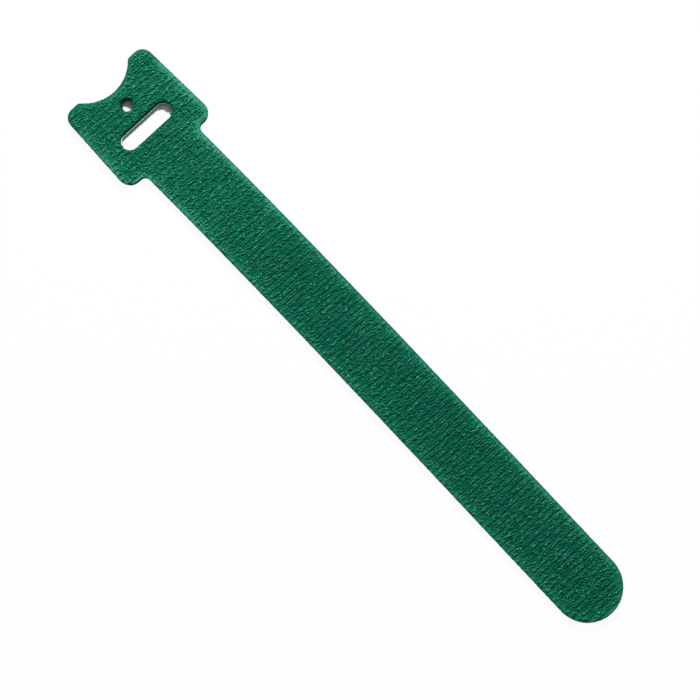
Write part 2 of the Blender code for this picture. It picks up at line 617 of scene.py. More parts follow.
@dataclass
class CutSheet:
    """A fine flat mesh that fills the die's outline, square cells inside and fitted at the cut.

    The inset widens the openings all round. The margin is in cells, and the snap is the least
    share of a cell's side that the cut leaves.
    """

    outline: DieOutline
    cell: float
    inset: float = 0.0
    margin: float = 1.5
    snap: float = 0.1
    probe: float = 0.05 * MM
    points: np.ndarray = field(init=False)
    faces: list[tuple[int, ...]] = field(init=False)
    rims: list[list[int]] = field(init=False)

    def __post_init__(self) -> None:
        """Lays the grid, cuts it, and keeps the points that are used."""
        grid, cells = self._grid()
        depth = self.outline.depth(grid, self.inset)
        held = (depth[cells] > 0).sum(axis=1)
        faces = [tuple(int(i) for i in quad) for quad in cells[held == 4]]
        added, trimmed, follow = self._cut(grid, depth, cells[(held > 0) & (held < 4)])
        faces += trimmed
        everything = np.vstack([grid, np.array(added)])
        used = np.unique(np.concatenate([np.array(face) for face in faces]))
        renumber = np.full(len(everything), -1)
        renumber[used] = np.arange(len(used))
        self.points = everything[used]
        self.faces = [tuple(int(renumber[i]) for i in face) for face in faces]
        self.rims = [[int(renumber[i]) for i in chain] for chain in closed_chains(follow)]
        self.rims.sort(key=len, reverse=True)

    def _grid(self) -> tuple[np.ndarray, np.ndarray]:
        """A square grid that covers the outline.

        Returns:
            Its points, one a row, and the numbers of each cell's four corners.
        """
        edge = self.outline.loops[0]
        margin = self.margin * self.cell
        low = edge.min(axis=0) - margin
        counts = np.ceil((edge.max(axis=0) + margin - low) / self.cell).astype(int) + 1
        lines = [low[side] + self.cell * np.arange(counts[side]) for side in (0, 1)]
        grid = np.stack([part.ravel() for part in np.meshgrid(*lines, indexing="ij")], axis=1)
        number = np.arange(len(grid)).reshape(counts)
        corners = [number[:-1, :-1], number[1:, :-1], number[1:, 1:], number[:-1, 1:]]
        return grid, np.stack(corners, axis=-1).reshape(-1, 4)

    def _cut(
        self, grid: np.ndarray, depth: np.ndarray, cells: np.ndarray
    ) -> tuple[list[np.ndarray], list[tuple[int, ...]], dict[int, int]]:
        """Trims the cells that the outline crosses.

        Args:
            grid: The grid's points.
            depth: How far inside the cloth each of them lies.
            cells: The corners of the cells to trim.

        Returns:
            The points that are added, the trimmed faces, and the point that comes after each
            added point along the cut.
        """
        added: list[np.ndarray] = []
        faces: list[tuple[int, ...]] = []
        crossing: dict[tuple[int, int], int] = {}
        follow: dict[int, int] = {}
        for quad in cells:
            ring: list[int] = []
            leaving = entering = -1
            for a, b in zip(quad, np.roll(quad, -1)):
                if depth[a] > 0:
                    ring.append(int(a))
                if (depth[a] > 0) == (depth[b] > 0):
                    continue
                key = (int(min(a, b)), int(max(a, b)))
                if key not in crossing:
                    share = depth[a] / (depth[a] - depth[b])
                    share = min(max(share, self.snap), 1.0 - self.snap)
                    crossing[key] = len(grid) + len(added)
                    added.append(grid[a] + share * (grid[b] - grid[a]))
                ring.append(crossing[key])
                if depth[a] > 0:
                    leaving = crossing[key]
                else:
                    entering = crossing[key]
            faces.append(tuple(ring))
            follow[leaving] = entering
        return added, faces, follow

    def outward(self, rim: list[int]) -> np.ndarray:
        """The direction out of the cloth at each point of a rim.

        Args:
            rim: The numbers of the rim's points, in order.

        Returns:
            Directions of length one, one a row.
        """
        edge = self.points[rim]
        tangent = np.roll(edge, -1, axis=0) - np.roll(edge, 1, axis=0)
        outward = np.column_stack([-tangent[:, 1], tangent[:, 0]])
        outward /= np.linalg.norm(outward, axis=1)[:, None]
        is_inward = self.outline.depth(edge + self.probe * outward, self.inset).mean() > 0.0
        return -outward if is_inward else outward

    def underside(self, loops: list[np.ndarray]) -> list[tuple[int, ...]]:
        """Triangles that close a web's flat underside and use every point of its rims.

        Args:
            loops: The numbers of the underside's own points, one list for each rim.

        Returns:
            The triangles, by those numbers.
        """
        places = np.concatenate([self.points[rim] for rim in self.rims])
        number = np.concatenate(loops)
        edges = []
        first = 0
        for loop in loops:
            edges += [(first + i, first + (i + 1) % len(loop)) for i in range(len(loop))]
            first += len(loop)
        scaled = [Vector(p) for p in places / MM]
        _, _, triangles, origin, _, _ = delaunay_2d_cdt(scaled, edges, [], 0, 1e-9)
        corners = np.array([[origin[i][0] for i in triangle] for triangle in triangles])
        inside = self.outline.depth(places[corners].mean(axis=1), self.inset) > 0
        return [tuple(int(number[i]) for i in triangle) for triangle in corners[inside]]


@dataclass(frozen=True)
class CutWall:
    """How a die-cut wall looks.

    The slants say how far the foot of each cut stands out at the head's end, along and across
    the tie, the outer edge first. Only the outer edge bulges.
    """

    rows: int
    raggedness: float
    seed: int
    slants: tuple[Pair, ...]
    bulge: float = 0.0
    bulge_start: float = 0.3
    bulge_lost_to_tip: float = 0.8

    def bands(
        self,
        outward: np.ndarray,
        by_head: np.ndarray,
        slant: Pair,
        is_outer: bool,
        random: np.random.Generator,
    ) -> list[np.ndarray]:
        """How far a wall stands out of its cut, at the top and at the foot of each of its rows.

        Args:
            outward: The direction out of the cloth at each point.
            by_head: Which points are in the tie's head end.
            slant: How far the cut's foot stands out.
            is_outer: Whether this is the tie's own edge.
            random: Gives the raggedness.

        Returns:
            The distance at each point, for each height from the top down.
        """
        foot = np.maximum(outward @ np.array(slant), 0.0) * by_head
        to_tip = np.clip(outward[:, 0], 0.0, 1.0) * by_head
        swell = (self.bulge if is_outer else 0.0) * (1.0 - self.bulge_lost_to_tip * to_tip)
        bands = []
        for row in range(self.rows + 1):
            share = row / self.rows
            push = np.zeros(len(outward))
            if 0 < row < self.rows:
                push = random.normal(0.0, self.raggedness, len(outward))
            push = np.clip(push, -2 * self.raggedness, 2 * self.raggedness)
            turn = self.bulge_start + (1.0 - self.bulge_start) * share
            bands.append(push + swell * math.sin(math.pi * turn) + share * foot)
        return bands


def sheet_solid(
    name: str, sheet: CutSheet, top: np.ndarray, bottom: float, wall: CutWall
) -> tuple[bpy.types.Object, int]:
    """A closed web with a shaped top, die-cut walls and a flat underside.

    Args:
        name: The object's name.
        sheet: The flat mesh that fills the outline.
        top: The top's height at each of the sheet's points.
        bottom: The underside's height.
        wall: How the cut walls look.

    Returns:
        The object and how many of its points belong to the top.
    """
    random = np.random.default_rng(wall.seed)
    points = [np.column_stack([sheet.points, top])]
    faces = list(sheet.faces)
    count = len(sheet.points)
    floor_loops = []
    for rim, slant in zip(sheet.rims, wall.slants):
        edge = sheet.points[rim]
        heights = top[rim]
        outward = sheet.outward(rim)
        is_outer = rim is sheet.rims[0]
        first, *others = wall.bands(outward, edge[:, 0] < 0.0, slant, is_outer, random)
        points[0][rim, :2] += first[:, None] * outward
        above = np.array(rim)
        for row, push in enumerate(others, 1):
            plan = edge + push[:, None] * outward
            height = heights + (bottom - heights) * (row / wall.rows)
            points.append(np.column_stack([plan, height]))
            below = np.arange(count, count + len(rim))
            count += len(rim)
            corners = zip(above, np.roll(above, -1), np.roll(below, -1), below)
            faces += [tuple(int(corner) for corner in quad) for quad in corners]
            above = below
        floor_loops.append(above)
    faces += sheet.underside(floor_loops)
    made = mesh_object(name, np.vstack(points), faces)
    turn_outwards(made.data)
    return made, len(sheet.points)


@dataclass(frozen=True)
class Lie:
    """How the tie lies on the paper: the strap bends slightly sideways and the head is straight."""

    rise: float = 1.04 * MM
    lean: float = 0.58 * MM
    neck: float = -76.9 * MM
    half_length: float = 100.0 * MM

    def bend(self, mesh: bpy.types.Mesh) -> None:
        """Moves a finished mesh sideways by the strap's bend.

        Args:
            mesh: The mesh of a piece.
        """
        places = read_vectors(mesh)
        along = np.maximum(places[:, 0], self.neck) / self.half_length
        places[:, 1] += self.rise * (1.0 - along**2) + self.lean * (along**3 - along)
        mesh.vertices.foreach_set("co", places.ravel())
        mesh.update()


@dataclass(frozen=True)
class YarnLoop:
    """One piece of yarn on the surface, along its own X before it is turned."""

    length: float
    sway: float
    second_sway: float
    rise: float
    radius: float
    sides: int = 3
    steps: int = 4
    sink: float = 0.12 * MM


ROW_LOOPS = (
    YarnLoop(1.05 * MM, 0.15 * MM, -0.13 * MM, 0.27 * MM, 0.18 * MM),
    YarnLoop(0.82 * MM, 0.15 * MM, 0.13 * MM, 0.33 * MM, 0.19 * MM),
    YarnLoop(1.30 * MM, -0.06 * MM, 0.11 * MM, 0.22 * MM, 0.18 * MM),
    YarnLoop(0.54 * MM, -0.10 * MM, 0.06 * MM, 0.43 * MM, 0.20 * MM),
)
BRUSHED_LOOPS = (
    YarnLoop(1.20 * MM, 0.36 * MM, -0.28 * MM, 0.34 * MM, 0.125 * MM),
    YarnLoop(0.85 * MM, 0.36 * MM, 0.32 * MM, 0.40 * MM, 0.135 * MM),
    YarnLoop(1.45 * MM, 0.14 * MM, -0.36 * MM, 0.28 * MM, 0.12 * MM),
)
EDGE_FIBRES = (
    YarnLoop(0.22 * MM, 0.06 * MM, 0.02 * MM, 0.0, 0.045 * MM, steps=2, sink=0.0),
    YarnLoop(0.17 * MM, -0.05 * MM, 0.04 * MM, 0.0, 0.05 * MM, steps=2, sink=0.0),
)


@dataclass
class Planting:
    """Where pieces of yarn stand, and how each is turned, sized, shaded and shaped."""

    places: np.ndarray
    turns: np.ndarray
    sizes: np.ndarray
    shades: np.ndarray
    shapes: np.ndarray

    def as_object(self, name: str) -> bpy.types.Object:
        """Loose points in the scene that carry the plan as attributes.

        Args:
            name: The new object's name.

        Returns:
            The object.
        """
        made = mesh_object(name, self.places, [])
        write_attribute(made.data, "size", self.sizes)
        write_attribute(made.data, "shade", self.shades)
        write_attribute(made.data, "shape", self.shapes, "INT")
        write_attribute(made.data, "turn", self.turns, "FLOAT_VECTOR")
        return made


class GrowingTree:
    """A geometry tree that sets yarn, fibres or hooks on a surface."""

    def __init__(self, name: str, sizes: dict[str, float]) -> None:
        """Makes the tree's own inputs.

        Args:
            name: The tree's name.
            sizes: The name and the value of each size that the tree takes.
        """
        self.sizes = sizes
        self.tree = bpy.data.node_groups.new(name, "GeometryNodeTree")
        kinds = {"Surface": "Geometry", **dict.fromkeys(sizes, "Float"), "Finish": "Material"}
        for label, kind in kinds.items():
            self.tree.interface.new_socket(label, in_out="INPUT", socket_type="NodeSocket" + kind)
        self.tree.interface.new_socket("Grown", in_out="OUTPUT", socket_type="NodeSocketGeometry")
        self.graph = Graph(self.tree)
        self.given = self.graph.node("NodeGroupInput").outputs

    def size(self, label: str) -> Value:
        """One of the tree's sizes, for use in sums."""
        return Value(self.graph, self.given[label])

    def random(self, low: float, high: float, seed: int) -> Value:
        """A random number for each point, between two limits."""
        inputs = {2: low, 3: high, "Seed": seed}
        return self.graph.read("FunctionNodeRandomValue", inputs, 1, data_type="FLOAT")

    def vector(self, x: Any, y: Any, z: Any) -> Value:
        """A vector from three numbers."""
        return self.graph.read("ShaderNodeCombineXYZ", {0: x, 1: y, 2: z})

    def attribute(self, name: str, kind: str = "FLOAT") -> Value:
        """An attribute of the geometry that is being worked on."""
        inputs = {"Name": name}
        return self.graph.read(
            "GeometryNodeInputNamedAttribute", inputs, "Attribute", data_type=kind
        )

    def strand(self, loop: YarnLoop) -> Value:
        """One capped strand of yarn as a mesh.

        Args:
            loop: Its shape.

        Returns:
            The mesh.
        """
        half = loop.length / 2
        quarter = loop.length / 4
        path = self.graph.read(
            "GeometryNodeCurvePrimitiveBezierSegment",
            {
                "Resolution": loop.steps,
                "Start": (-half, 0.0, -loop.sink),
                "Start Handle": (-quarter, loop.sway, loop.rise),
                "End Handle": (quarter, loop.second_sway, loop.rise),
                "End": (half, 0.0, -loop.sink),
            },
            mode="POSITION",
        )
        inputs = {"Resolution": loop.sides, "Radius": loop.radius}
        section = self.graph.read("GeometryNodeCurvePrimitiveCircle", inputs, mode="RADIUS")
        inputs = {"Curve": path, "Profile Curve": section, "Fill Caps": True}
        body = self.graph.read("GeometryNodeCurveToMesh", inputs)
        return self.graph.read("GeometryNodeSetShadeSmooth", {"Geometry": body})

    def any_of(self, loops: tuple[YarnLoop, ...]) -> Value:
        """The strands as instances, from which each point picks one.

        Args:
            loops: The shapes of the strands.

        Returns:
            The instances.
        """
        joined = self.graph.node("GeometryNodeGeometryToInstance")
        for loop in loops:
            self.tree.links.new(self.strand(loop).socket, joined.inputs[0])
        return Value(self.graph, joined.outputs[0])

    def set_out(
        self, points: Any, shape: Value, turn: Value, size: Any = 1.0, pick: Any = None
    ) -> Value:
        """Instances of a shape on points.

        Args:
            points: The points.
            shape: The shape, or the shapes to pick from.
            turn: How each is turned.
            size: How much larger or smaller each is.
            pick: The number of the shape that each point picks, where there are several.

        Returns:
            The instances.
        """
        inputs = {"Points": points, "Instance": shape, "Rotation": turn}
        inputs["Scale"] = self.vector(size, size, size)
        if pick is not None:
            inputs |= {"Pick Instance": True, "Instance Index": pick}
        return self.graph.read("GeometryNodeInstanceOnPoints", inputs)

    def finish(self, geometry: Value) -> None:
        """Ends the tree: instances are made real and given their finish.

        Args:
            geometry: The instances.
        """
        real = self.graph.read("GeometryNodeRealizeInstances", {"Geometry": geometry})
        inputs = {"Geometry": real, "Material": self.given["Finish"]}
        dressed = self.graph.read("GeometryNodeSetMaterial", inputs)
        self.graph.node("NodeGroupOutput", {0: dressed})

    def grow(
        self, name: str, surface: bpy.types.Object, material: bpy.types.Material
    ) -> bpy.types.Object:
        """Runs the tree once on a surface.

        Args:
            name: The new piece's name.
            surface: The object that the tree takes as its surface.
            material: The new piece's finish.

        Returns:
            The grown piece as a plain mesh, with no modifier left.
        """
        piece = new_object(name, surface.data.copy())
        modifier = piece.modifiers.new("grow", "NODES")
        modifier.node_group = self.tree
        given = {**self.sizes, "Finish": material}
        for socket in self.tree.interface.items_tree:
            if socket.in_out == "INPUT" and socket.name in given:
                modifier[socket.identifier] = given[socket.name]
        bpy.context.view_layer.update()
        graph = bpy.context.evaluated_depsgraph_get()
        mesh = bpy.data.meshes.new_from_object(piece.evaluated_get(graph), depsgraph=graph)
        piece.modifiers.remove(modifier)
        piece.data = mesh
        mesh.name = name
        return piece


@dataclass(frozen=True)
class Shading:
    """How pale yarn is, from 0 to 1: its brightness, a painted highlight along the outer edge, and
    paler yarn towards the head.
    """

    base: float
    spread: float
    rim: float
    head: float
    spread_lost_at_head: float = 0.03
    spread_lost_at_rim: float = 0.5

    def of(self, bright: np.ndarray, rim: np.ndarray, head: np.ndarray) -> np.ndarray:
        """The shade of each piece of yarn, or of each place.

        Args:
            bright: Its own brightness, 0 to 1.
            rim: How much it belongs to the band along the outer edge, which takes a painted
                highlight.
            head: How much it belongs to the head's end.

        Returns:
            The shades.
        """
        spread = (self.spread - self.spread_lost_at_head * head) * bright
        spread = spread * (1 - self.spread_lost_at_rim * rim)
        return self.base + spread + self.rim * rim + self.head * head


@dataclass
class LoopFabric:
    """The knitted loop web: its ridged ground, its rows of loops, and the fuzz on its edges."""

    outline: DieOutline
    half_length: float
    half_width: float
    bottom: float
    cell: float = 0.27 * MM
    opening_inset: float = 0.12 * MM
    smooth_angle: float = math.radians(65.0)
    # The walls' feet stand out into the openings so their dark walls show; in the hole the dark foot
    # reaches furthest and also stands in for shadow on the floor there.
    wall: CutWall = CutWall(
        rows=4,
        raggedness=0.03 * MM,
        seed=16,
        slants=((0.30 * MM, 0.0), (0.34 * MM, 0.0), (0.64 * MM, 0.40 * MM)),
        bulge=0.30 * MM,
    )

    # Courses, which run across the tie, and how they stray
    course_pitch: float = 1.6 * MM
    course_skew: float = math.tan(math.radians(1.8))
    stray_together: Unevenness = Unevenness(0.34 * MM, (4.5 * MM, 60.0 * MM), 11)
    stray_apart: Unevenness = Unevenness(0.14 * MM, (5.0 * MM, 5.0 * MM), 12)

    # Relief of the ground
    ground_thickness: float = 0.84 * MM
    ridge_height: float = 0.14 * MM
    ridge_mean: float = 0.8
    ridge_variation: Unevenness = Unevenness(0.2, (3.2 * MM, 6.0 * MM), 13)
    ridge_lost_at_rim: float = 0.5
    mesh_relief: float = 0.06 * MM
    mesh_coarse: Unevenness = Unevenness(1.0, (0.62 * MM, 1.15 * MM), 14)
    mesh_fine: Unevenness = Unevenness(0.6, (0.45 * MM, 0.55 * MM), 15)
    mesh_lost_at_rim: float = 0.3
    rim_height: float = 0.12 * MM
    edge_drop: float = 0.14 * MM
    edge_width: float = 0.30 * MM

    # Band along the outer edge, weaker at the scallop: a painted highlight in the shades, and
    # smoother, higher ground there
    rim_strength: float = 0.68
    rim_most: float = 0.44
    rim_width: float = 1.2 * MM
    rim_shift: float = 0.12 * MM
    rim_shift_over: float = 8.0 * MM
    scallop_depth: float = 4.5 * MM
    scallop_fade: float = 3.0 * MM
    rim_at_scallop: float = 0.5

    # Brushed-up pile, more of it towards the head, where the yarn is also paler
    upset_mean: float = 0.25
    upset_patches: Unevenness = Unevenness(0.20, (13.0 * MM, 22.0 * MM), 21)
    upset_by_head: float = 0.28
    head_from: float = -15.0 * MM
    head_over: float = 55.0 * MM

    # Loops of both kinds: how they lean and how large they are
    lean: float = 0.28
    pitch: float = 0.10
    size_range: Pair = (0.78, 1.15)
    outer_room: float = 0.50 * MM
    opening_room: float = 0.30 * MM

    # Loops in rows
    row_seed: int = 31
    row_offset: float = 0.32 * MM
    loop_pitch: float = 0.70 * MM
    loop_jitter: float = 0.15 * MM
    row_jitter: float = 0.13 * MM
    row_jitter_upset: float = 0.16 * MM
    row_turn: float = 0.12
    row_turn_upset: float = 0.34
    rim_thinning: float = 0.7

    # Brushed loops, so many to a square millimetre
    brushed_seed: int = 32
    brushed_most: float = 2.0
    brushed_in_valley: float = 0.04
    brushed_base: float = 0.4
    brushed_turn: float = 0.3
    brushed_turn_upset: float = 0.8

    # Fibre ends on the cut edges
    fuzz_seed: int = 41
    fuzz_density: float = 8.0 / MM**2
    fuzz_in_openings: float = 0.1
    fuzz_on_walls: float = 0.45
    fuzz_lean: Pair = (-2.4, -0.7)
    # Fibre ends are paler than the loops: a painted highlight on the cut edges.
    fuzz_shade: Pair = (0.45, 0.9)

    # Shades: random tone of the yarn, painted shade in the valleys and on the walls, a painted
    # highlight along the outer edge, and paler yarn towards the head
    # The ground's yarn is a darker copy of the loops' yarn: painted shade down between the loops.
    ground_body_in_shade: Colour = (0.006, 0.158, 0.088)
    # The ground is paler on its ridges and darker in its valleys: painted shade.
    ground_shading: Shading = Shading(0.30, 0.10, 0.72, 0.10, 0.0, 1.0)
    row_shading: Shading = Shading(0.13, 0.39, 0.54, 0.08)
    brushed_shading: Shading = Shading(0.24, 0.46, 0.36, 0.09)
    # Painted shade on the cut walls: darker towards the foot, darker still on the head's walls that
    # face the tip, and deep on the walls of the openings.
    wall_shade: float = 0.45
    wall_shade_rise: float = 0.3
    wall_painted_shadow_to_tip: float = 0.7
    outer_wall_reach: float = 0.3 * MM

    def build(self) -> list[bpy.types.Object]:
        """Makes and dresses every piece of the web.

        Returns:
            The pieces, the ground first.
        """
        yarn = YarnFinish("green_loop_yarn").build()
        ground = self.ground()
        rows = self.planted("loop_rows", self.course_rows(), ROW_LOOPS, yarn)
        brushed = self.planted("brushed_loops", self.brushed_places(), BRUSHED_LOOPS, yarn)
        pieces = [ground, rows, brushed, self.edge_fuzz(ground, yarn)]
        for piece in pieces:
            Lie().bend(piece.data)
        return pieces

    def wander(self, x: np.ndarray, y: np.ndarray) -> np.ndarray:
        """How far the knitted courses stray along the tie."""
        return self.stray_together.at(x, y) + self.stray_apart.at(x, y)

    def ridge(self, x: np.ndarray, y: np.ndarray) -> np.ndarray:
        """How high each place stands on its knitted ridge, from 0 in the valleys to 1."""
        phase = x + self.wander(x, y) - self.course_skew * y
        return np.abs(np.sin(math.pi * phase / self.course_pitch))

    def near_head(self, x: np.ndarray) -> np.ndarray:
        """How much each place belongs to the head's end, where the pile is brushed up more and the
        yarn is paler.
        """
        return smooth_step(np.clip((self.head_from - x) / self.head_over, 0.0, 1.0))

    def disorder(self, x: np.ndarray, y: np.ndarray) -> np.ndarray:
        """How much the brush has upset the courses at each place, 0 to 1."""
        mean = self.upset_mean + self.upset_patches.at(x, y)
        return mean + self.upset_by_head * self.near_head(x)

    def rim_band(self, points: np.ndarray) -> np.ndarray:
        """How much each place belongs to the band along the outer edge, which takes a painted
        highlight.

        Args:
            points: Plan positions, one a row.

        Returns:
            The share of each, from 0 towards 1.
        """
        side = np.clip(points[:, 1] / self.rim_shift_over, -1.0, 1.0)
        depth = self.outline.inside(points, 0) - self.rim_shift * side
        band = np.minimum(self.rim_strength * np.exp(-depth / self.rim_width), self.rim_most)
        past = (points[:, 0] + self.half_length - self.scallop_depth) / self.scallop_fade
        past = np.clip(past, 0.0, 1.0)
        return band * (self.rim_at_scallop + (1 - self.rim_at_scallop) * past)

    def has_room(self, plan: np.ndarray) -> np.ndarray:
        """Which places are far enough from every cut edge for a loop to lie there."""
        outer = self.outline.inside(plan, 0) > self.outer_room
        return outer & (self.outline.depth(plan, self.opening_inset) > self.opening_room)

    def heights(self, points: np.ndarray) -> np.ndarray:
        """The height of the ground's top surface.

        Args:
            points: Plan positions, one a row.

        Returns:
            The height at each.
        """
        x, y = points.T
        rim = self.rim_band(points)
        depth = self.outline.depth(points, self.opening_inset)
        uneven = self.ridge_mean + self.ridge_variation.at(x, y)
        mesh = self.mesh_coarse.at(x, y) + self.mesh_fine.at(x, y)
        relief = self.ridge_height * self.ridge(x, y) * uneven * (1 - self.ridge_lost_at_rim * rim)
        stitches = self.mesh_relief * mesh * (1 - self.mesh_lost_at_rim * rim)
        relief += stitches + self.rim_height * rim
        rounding = self.edge_drop * np.exp(-np.maximum(depth, 0.0) / self.edge_width)
        return self.bottom + self.ground_thickness + relief - rounding

    def ground(self) -> bpy.types.Object:
        """The knitted ground, a closed web with ridges across the tie.

        Returns:
            The piece. Its attribute "outer" says where fibres stand on its walls.
        """
        sheet = CutSheet(self.outline, self.cell, self.opening_inset)
        top = self.heights(sheet.points)
        made, count = sheet_solid("knit_ground", sheet, top, self.bottom, self.wall)
        # The ground's darker yarn is painted shade.
        made.data.materials.append(YarnFinish("green_knit_ground", body=self.ground_body_in_shade).build())
        places = read_vectors(made.data)
        x, _, z = places.T
        rim = self.rim_band(sheet.points)
        # Painted shade on the walls: darker towards the foot, darker on the head's walls that face
        # the tip, which lie in shadow, and deep in the openings. The outer share also says where
        # fibres stand.
        outer = np.zeros(len(places))
        outer[:count] = rim
        outer[count:] = np.abs(self.outline.inside(places[count:, :2], 0)) < self.outer_wall_reach
        to_tip = np.clip(read_vectors(made.data, "normal")[:, 0], 0.0, 1.0) * (x < 0.0)
        shade = self.wall_shade + self.wall_shade_rise * (z - self.bottom) / self.ground_thickness
        shade = (shade - self.wall_painted_shadow_to_tip * to_tip) * outer
        # Painted shade on the top: paler on the ridges and darker in the valleys, with the edge
        # band's painted highlight and paler yarn towards the head.
        ridge = self.ridge(*sheet.points.T)
        shade[:count] = self.ground_shading.of(ridge, rim, self.near_head(sheet.points[:, 0]))
        write_attribute(made.data, "outer", outer)
        write_attribute(made.data, "shade", shade)
        made.data.shade_smooth()
        made.data.set_sharp_from_angle(angle=self.smooth_angle)
        return made

    def course_rows(self) -> Planting:
        """The looped yarn of the courses, two rows of it on each knitted ridge.

        Returns:
            Where the loops stand.
        """
        random = np.random.default_rng(self.row_seed)
        courses = math.ceil(self.half_length / self.course_pitch)
        crests = self.course_pitch * (np.arange(-courses, courses) + 0.5)
        rows = np.concatenate([crests - self.row_offset, crests + self.row_offset])
        steps = np.arange(-self.half_width, self.half_width, self.loop_pitch)
        phase, y = (a.ravel() for a in np.meshgrid(rows, steps, indexing="ij"))
        y = y + np.repeat(random.uniform(0.0, self.loop_pitch, len(rows)), len(steps))
        y = y + random.normal(0.0, self.loop_jitter, len(y))
        upset = self.disorder(phase, y)
        jitter = self.row_jitter + self.row_jitter_upset * upset
        x = phase - self.wander(phase, y) + self.course_skew * y
        x = x + random.normal(0.0, 1.0, len(x)) * jitter
        plan = np.column_stack([x, y])
        rim = self.rim_band(plan)
        kept = self.has_room(plan)
        kept &= random.uniform(0.0, 1.0, len(x)) > self.rim_thinning * rim
        turn = random.normal(0.0, 1.0, len(x)) * (self.row_turn + self.row_turn_upset * upset)
        turn += math.pi / 2 - self.course_skew
        bright = random.uniform(0.0, 1.0, len(x))
        shade = self.row_shading.of(bright, rim, self.near_head(x))
        return self.stand(plan[kept], turn[kept], shade[kept], len(ROW_LOOPS), random)

    def brushed_places(self) -> Planting:
        """Thinner loops that the brush has pulled up and left lying every way.

        Returns:
            Where the loops stand.
        """
        random = np.random.default_rng(self.brushed_seed)
        count = int(self.brushed_most * 4 * self.half_length * self.half_width / MM**2)
        x = random.uniform(-self.half_length, self.half_length, count)
        y = random.uniform(-self.half_width, self.half_width, count)
        plan = np.column_stack([x, y])
        rim = self.rim_band(plan)
        upset = self.disorder(x, y)
        on_ridge = self.brushed_in_valley + (1 - self.brushed_in_valley) * self.ridge(x, y) ** 3
        wanted = on_ridge * (self.brushed_base + upset) * (1 + rim)
        kept = self.has_room(plan)
        kept &= random.uniform(0.0, self.brushed_most, count) < wanted
        spread = self.brushed_turn + self.brushed_turn_upset * upset
        turn = math.pi / 2 + random.normal(0.0, 1.0, count) * spread
        bright = random.uniform(0.0, 1.0, count)
        shade = self.brushed_shading.of(bright, rim, self.near_head(x))
        return self.stand(plan[kept], turn[kept], shade[kept], len(BRUSHED_LOOPS), random)

    def stand(
        self,
        plan: np.ndarray,
        turn: np.ndarray,
        shade: np.ndarray,
        shapes: int,
        random: np.random.Generator,
    ) -> Planting:
        """Stands loops on the ground.

        Args:
            plan: Their plan positions.
            turn: Their bearings.
            shade: Their shades, 0 to 1.
            shapes: How many shapes there are to pick from.
            random: Gives their sizes, their shapes and how they lean.

        Returns:
            The plan for them.
        """
        count = len(plan)
        lean = random.normal(0.0, self.lean, count)
        pitch = random.normal(0.0, self.pitch, count)
        return Planting(
            np.column_stack([plan, self.heights(plan)]),
            np.column_stack([lean, pitch, turn]),
            random.uniform(*self.size_range, count),
            shade,
            random.integers(0, shapes, count),
        )

    @staticmethod
    def planted(
        name: str, planting: Planting, loops: tuple[YarnLoop, ...], yarn: bpy.types.Material
    ) -> bpy.types.Object:
        """Sets yarn on its places.

        Args:
            name: The new piece's name.
            planting: Where each piece of yarn stands.
            loops: The shapes to pick from.
            yarn: The finish.

        Returns:
            The piece, as a plain mesh.
        """
        places = planting.as_object(name + "_places")
        tree = GrowingTree(name, {"Yarn size": 1.0})
        size = tree.attribute("size") * tree.size("Yarn size")
        turn = tree.attribute("turn", "FLOAT_VECTOR")
        pick = tree.attribute("shape", "INT")
        tree.finish(tree.set_out(tree.given["Surface"], tree.any_of(loops), turn, size, pick))
        piece = tree.grow(name, places, yarn)
        bpy.data.objects.remove(places)
        return piece

    def edge_fuzz(self, ground: bpy.types.Object, yarn: bpy.types.Material) -> bpy.types.Object:
        """Short fibre ends that stand out of the die-cut edges, few of them in the openings.

        Args:
            ground: The knitted ground.
            yarn: The finish.

        Returns:
            The piece, as a plain mesh.
        """
        tree = GrowingTree("edge_fuzz", {"Density": self.fuzz_density})
        graph = tree.graph
        any_fibre = (0.0, len(EDGE_FIBRES) - 0.001)
        share = tree.attribute("outer") * (1 - self.fuzz_in_openings) + self.fuzz_in_openings
        level = abs(graph.axis(graph.read("GeometryNodeInputNormal"), "Z"))
        scattered = graph.node(
            "GeometryNodeDistributePointsOnFaces",
            {
                "Mesh": tree.given["Surface"],
                "Selection": level < self.fuzz_on_walls,
                "Density": tree.size("Density") * share,
                "Seed": self.fuzz_seed,
            },
            distribute_method="RANDOM",
        ).outputs
        seeds = range(self.fuzz_seed + 1, self.fuzz_seed + 6)
        all_round = (0.0, 2 * math.pi)
        ranges = (self.fuzz_lean, all_round, self.size_range, any_fibre, self.fuzz_shade)
        drawn = [tree.random(*limits, seed) for limits, seed in zip(ranges, seeds)]
        lean, bearing, size, pick, shade = drawn
        inputs = {"Rotation": scattered["Rotation"], "Rotate By": tree.vector(0.0, lean, bearing)}
        turn = graph.read("FunctionNodeRotateRotation", inputs, rotation_space="LOCAL")
        fibres = tree.set_out(scattered["Points"], tree.any_of(EDGE_FIBRES), turn, size, pick)
        inputs = {"Geometry": fibres, "Name": "shade", "Value": shade}
        kinds = {"data_type": "FLOAT", "domain": "INSTANCE"}
        tree.finish(graph.read("GeometryNodeStoreNamedAttribute", inputs, **kinds))
        return tree.grow("edge_fuzz", ground, yarn)


